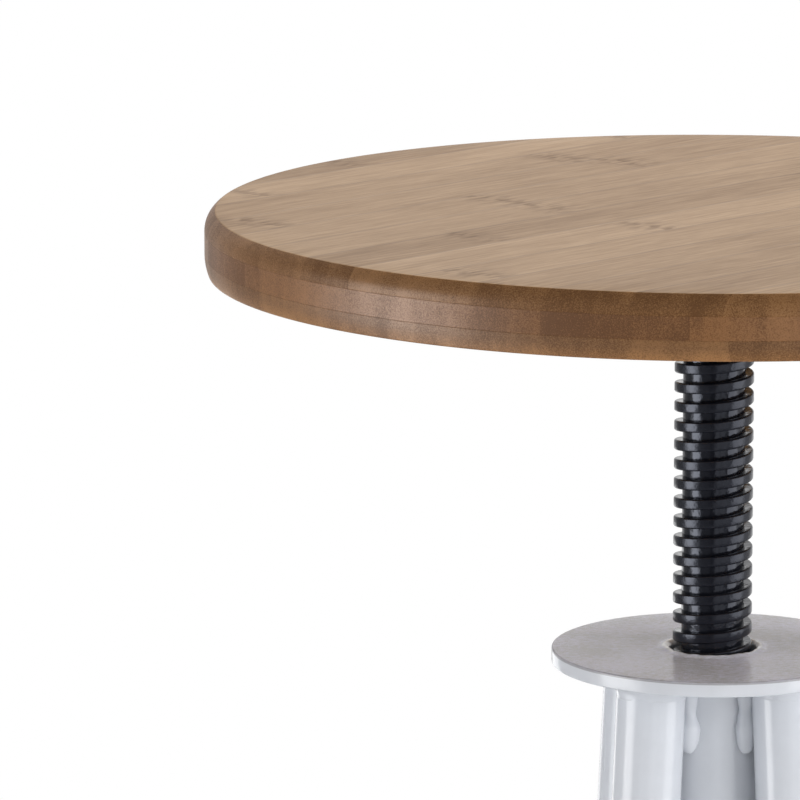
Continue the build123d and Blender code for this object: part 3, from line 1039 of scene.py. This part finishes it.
# A drop of weld down the groove between a leg and the column
def columnBead(angle, seed):
    w = weld
    reach = column["radius"] + w["columnBeadTop"] - w["bite"]
    toLeg = leg["radius"] + w["columnBeadTop"] - w["bite"]
    lead = math.acos((reach ** 2 + leg["reach"] ** 2 - toLeg ** 2) / (2 * reach * leg["reach"]))
    verts, faces = [], []
    around, rows = 32, 56
    for side in (-1, 1):
        cx, cy = legPoint(angle + math.degrees(lead) * side, reach, 0)[:2]
        length = w["columnBeadLength"] + w["columnBeadFoot"]
        length += noise.noise((seed * 3.1, side * 2.7, 0.5)) * w["columnBeadSpread"]
        first = len(verts)
        for row in range(rows + 1):
            share = row / rows
            height = plate["underside"] - share * length
            width = w["columnBeadTop"] + (w["columnBeadFoot"] - w["columnBeadTop"]) * share
            width -= w["columnBeadWaist"] * math.cos(math.tau * (2 * share + 0.05 * seed))
            width += w["columnBeadSway"] * noise.noise((seed * 7.3 + side * 3.3, share * 6.4, 1.7))
            tail = max(0.0, 1 - (1 - share) * length / (w["columnBeadFoot"] * w["columnBeadTail"]))
            width = max(width * math.sqrt(max(0.0, 1 - tail * tail)), w["columnBeadTip"])
            for step in range(around):
                turn = math.tau * step / around
                x, y = cx + width * math.cos(turn), cy + width * math.sin(turn)
                swell = lump((x, y, height), w["ripple"]) / max(width, w["fullRippleFrom"])
                grown = width * (1 + swell)
                verts.append((cx + grown * math.cos(turn), cy + grown * math.sin(turn), height))
        faces += beadFaces(first, rows, around)
    return verts, faces


# A lump of weld between the footrest bar and a leg
def barBead(angle):
    w = weld
    lean = math.radians(leg["lean"])
    reach = footrest["radius"] + footrest["bar"] * math.cos(lean)
    height = footrest["height"] + footrest["bar"] * math.sin(lean)
    out = Vector(legPoint(angle, 1, 0))
    side = Vector((-out.y, out.x, 0))
    middle = out * reach + Vector((0, 0, height))
    verts = []
    around, rows = 28, 18
    for row in range(rows + 1):
        share = -1 + 2 * row / rows
        width = w["barBead"] * math.sqrt(max(0.0, 1 - abs(share) ** w["barBeadBluntness"]))
        width = max(width, w["barBeadTip"])
        tall = width * w["barBeadTallness"]
        for step in range(around):
            turn = math.tau * step / around
            spot = middle + side * share * (w["barBeadLength"] / 2)
            spot += out * width * math.cos(turn) + Vector((0, 0, tall * math.sin(turn)))
            spot += (spot - middle).normalized() * lump(spot, w["ripple"])
            verts.append(tuple(spot))
    return verts, beadFaces(0, rows, around)


# Middle of a leg's neck at a height
def neckSpot(angle, height):
    drop = plate["underside"] - height
    return legPoint(angle, leg["reach"] + drop * math.tan(math.radians(leg["neckLean"])), 0)[:2]


def addTo(verts, faces, more):
    start = len(verts)
    verts += more[0]
    faces += [tuple(start + i for i in face) for face in more[1]]


def buildWelds():
    plateParts, columnParts, barParts = ([], []), ([], []), ([], [])
    outline = filletOutline(leg["radius"], weld["plateBead"], plate["underside"], 10)
    keepOut = column["radius"] - weld["sink"]
    for order, angle in enumerate(leg["angles"].values()):
        ring = ringBead(lambda height, angle=angle: neckSpot(angle, height), outline, 96, keepOut)
        addTo(*plateParts, ring)
        addTo(*columnParts, columnBead(angle, order + 1))
        addTo(*barParts, barBead(angle))
    for name, node, parts in (
        ("plate_beads", "leg_plate_welds", plateParts),
        ("column_beads", "leg_column_welds", columnParts),
        ("bar_beads", "footrest_welds", barParts),
    ):
        beads = pieceFromData(name, *parts, 60)
        place(beads, "frame", "white_paint", whiteEnamel, node)
    print("welds made")


buildPlate()
buildColumn()
buildLegs()
buildWelds()
print("base made")

# Stage, light and camera
view = {
    "spot": (-0.22954, -2.18397, 1.096),
    "target": (-0.10144, 0.01066, 0.68101),
    "lens": 309.735,
}


def aimed(spot, target):
    return (Vector(target) - Vector(spot)).to_track_quat("-Z", "Y").to_euler()


camera = bpy.data.objects.new("camera", bpy.data.cameras.new("camera"))
camera.data.lens = view["lens"]
camera.data.sensor_width = 36
camera.data.clip_end = 100
camera.location = view["spot"]
camera.rotation_euler = aimed(view["spot"], view["target"])
scene.collection.objects.link(camera)
scene.camera = camera

studio = {
    "ambient": 0.62,
    "wallTop": (0.45, 0.66),
    "ceiling": 0.15,
    "lampAim": (0, 0, 0.62),
    "floorRadius": 14.0,
    "floorFade": (0.7, 1.7),
    "floorTone": 0.8,
    "floorShine": 0.35,
}
lamps = {
    "back": {"spot": (0.15, 1.4, 2.5), "size": 1.2, "power": 34.0},
    "front": {"spot": (-0.4, -2.6, 0.9), "size": 2.0, "power": 2.0},
    "left": {"spot": (-1.9, -0.5, 0.8), "size": 1.2, "power": 13.5},
    "fill": {"spot": (1.6, -1.3, 0.7), "size": 1.4, "power": 28.0},
}
# Brightness that gloss surfaces see, by degrees to the right of the camera as seen from the stool
cards = {
    "room_card": {
        "radius": (1.75, 1.75),
        "height": (0.002, 1.25),
        "stops": [
            (-168, 0.65), (-142, 0.6), (-132, 0.3), (-100, 0.3), (-88, 1.2),
            (-81, 5.3), (-60, 5.3), (-47, 0.3), (-14, 0.24), (-9, 0.1), (4, 0.1),
            (8, 0.78), (20, 0.82), (22, 0.5), (25, 0.5), (27, 0.8), (46, 0.72),
            (48, 0.2), (53, 0.2), (57, 2.4), (92, 2.6), (102, 0.8),
            (130, 0.5), (142, 1.0), (168, 1.0),
        ],
    },
    "upper_card": {
        "radius": (1.75, 1.75),
        "height": (1.25, 2.6),
        "stops": [(-168, 0.5), (-120, 0.35), (120, 0.35), (168, 0.5)],
    },
    "low_card": {
        "radius": (0.9, 0.9),
        "height": (0.2, 0.445),
        "stops": [(-164, 0.9), (-159, 1.7), (-144, 1.7), (-138, 0.5)],
    },
    "floor_card": {
        "radius": (0.8, 1.73),
        "height": (0.004, 0.004),
        "stops": [(-102, 0.35), (-92, 1.0), (-82, 3.0), (-60, 3.0), (-46, 0.35)],
    },
}


def seenDirectly(tree):
    path = tree.nodes.new("ShaderNodeLightPath")
    both = calc(tree, "ADD", path.outputs["Is Camera Ray"], path.outputs["Is Glossy Ray"], clamp=True)
    return calc(tree, "ADD", both, path.outputs["Is Transmission Ray"], clamp=True)


def buildWorld():
    world = bpy.data.worlds.new("studio")
    scene.world = world
    world.use_nodes = True
    tree = world.node_tree
    tree.nodes.clear()
    out = tree.nodes.new("ShaderNodeOutputWorld")
    strength = calc(tree, "MULTIPLY_ADD", seenDirectly(tree), 1 - studio["ambient"], studio["ambient"])
    # reflections find a dark ceiling above the white walls
    up = heightOf(tree, tree.nodes.new("ShaderNodeTexCoord").outputs["Generated"])
    ceiling = spread(tree, up, *studio["wallTop"], 0.0, 1 - studio["ceiling"])
    shiny = tree.nodes.new("ShaderNodeLightPath").outputs["Is Glossy Ray"]
    strength = calc(tree, "MULTIPLY", strength, inverse(tree, calc(tree, "MULTIPLY", ceiling, shiny)))
    glow = add(tree, "ShaderNodeBackground", {"Color": (1, 1, 1, 1), "Strength": strength})
    tree.links.new(glow.outputs[0], out.inputs[0])


def buildFloor():
    verts = [legPoint(i * 5, studio["floorRadius"], 0) for i in range(72)]
    floor = pieceFromData("floor", verts, [tuple(range(72))])
    finish, tree, out = blankFinish("paleFloor")
    where = tree.nodes.new("ShaderNodeTexCoord").outputs["Object"]
    near, away = studio["floorFade"]
    reach = {0: fromAxis(tree, where), 1: near, 2: away, 3: 0.0, 4: 1.0}
    fade = add(tree, "ShaderNodeMapRange", reach, interpolation_type="SMOOTHSTEP")
    path = tree.nodes.new("ShaderNodeLightPath")
    seen, shiny = path.outputs["Is Camera Ray"], path.outputs["Is Glossy Ray"]
    factor = calc(tree, "MAXIMUM", calc(tree, "MULTIPLY", fade.outputs[0], seen), shiny)
    strength = calc(tree, "MULTIPLY_ADD", shiny, studio["floorShine"], seen)
    tone = studio["floorTone"]
    matt = add(tree, "ShaderNodeBsdfDiffuse", {"Color": (tone, tone, tone, 1)})
    white = add(tree, "ShaderNodeEmission", {"Color": (1, 1, 1, 1), "Strength": strength})
    mixed = add(tree, "ShaderNodeMixShader", {0: factor, 1: matt.outputs[0], 2: white.outputs[0]})
    tree.links.new(mixed.outputs[0], out.inputs[0])
    floor.data.materials.append(finish)


# Curved cards that only reflections see: soft boxes, white walls and the dark around the camera
def buildCard(name, radius, height, stops):
    facing = math.atan2(view["spot"][1], view["spot"][0])
    first, last = stops[0][0], stops[-1][0]
    verts, faces = [], []
    steps = 156
    for i in range(steps + 1):
        angle = facing + math.radians(first + (last - first) * i / steps)
        for far, high in zip(radius, height):
            verts.append((far * math.cos(angle), far * math.sin(angle), high))
        if i:
            faces.append((2 * i - 2, 2 * i, 2 * i + 1, 2 * i - 1))
    card = pieceFromData(name, verts, faces)
    finish, tree, out = blankFinish(name + "_glow")
    where = objectPlace(tree, -facing)
    split = add(tree, "ShaderNodeSeparateXYZ", {0: where})
    angle = calc(tree, "ARCTAN2", split.outputs[1], split.outputs[0])
    turned = calc(tree, "SUBTRACT", angle, math.radians(first))
    share = calc(tree, "DIVIDE", turned, math.radians(last - first))
    most = max(level for turn, level in stops)
    rows = [((turn - first) / (last - first), (level / most,) * 3) for turn, level in stops]
    level = ramp(tree, share, rows)
    glow = add(tree, "ShaderNodeEmission", {"Color": level, "Strength": most})
    tree.links.new(glow.outputs[0], out.inputs[0])
    card.data.materials.append(finish)
    card.visible_camera = False
    card.visible_diffuse = False
    card.visible_shadow = False
    card.visible_transmission = False


def softbox(name, spot, size, power):
    lamp = bpy.data.lights.new(name, "AREA")
    lamp.energy = power
    lamp.shape = "SQUARE"
    lamp.size = size
    made = bpy.data.objects.new(name, lamp)
    made.location = spot
    made.rotation_euler = aimed(spot, studio["lampAim"])
    made.visible_glossy = False
    scene.collection.objects.link(made)


buildWorld()
buildFloor()
for cardName, card in cards.items():
    buildCard(cardName, **card)
for lampName, lamp in lamps.items():
    softbox(lampName, **lamp)
print("stage and light made")
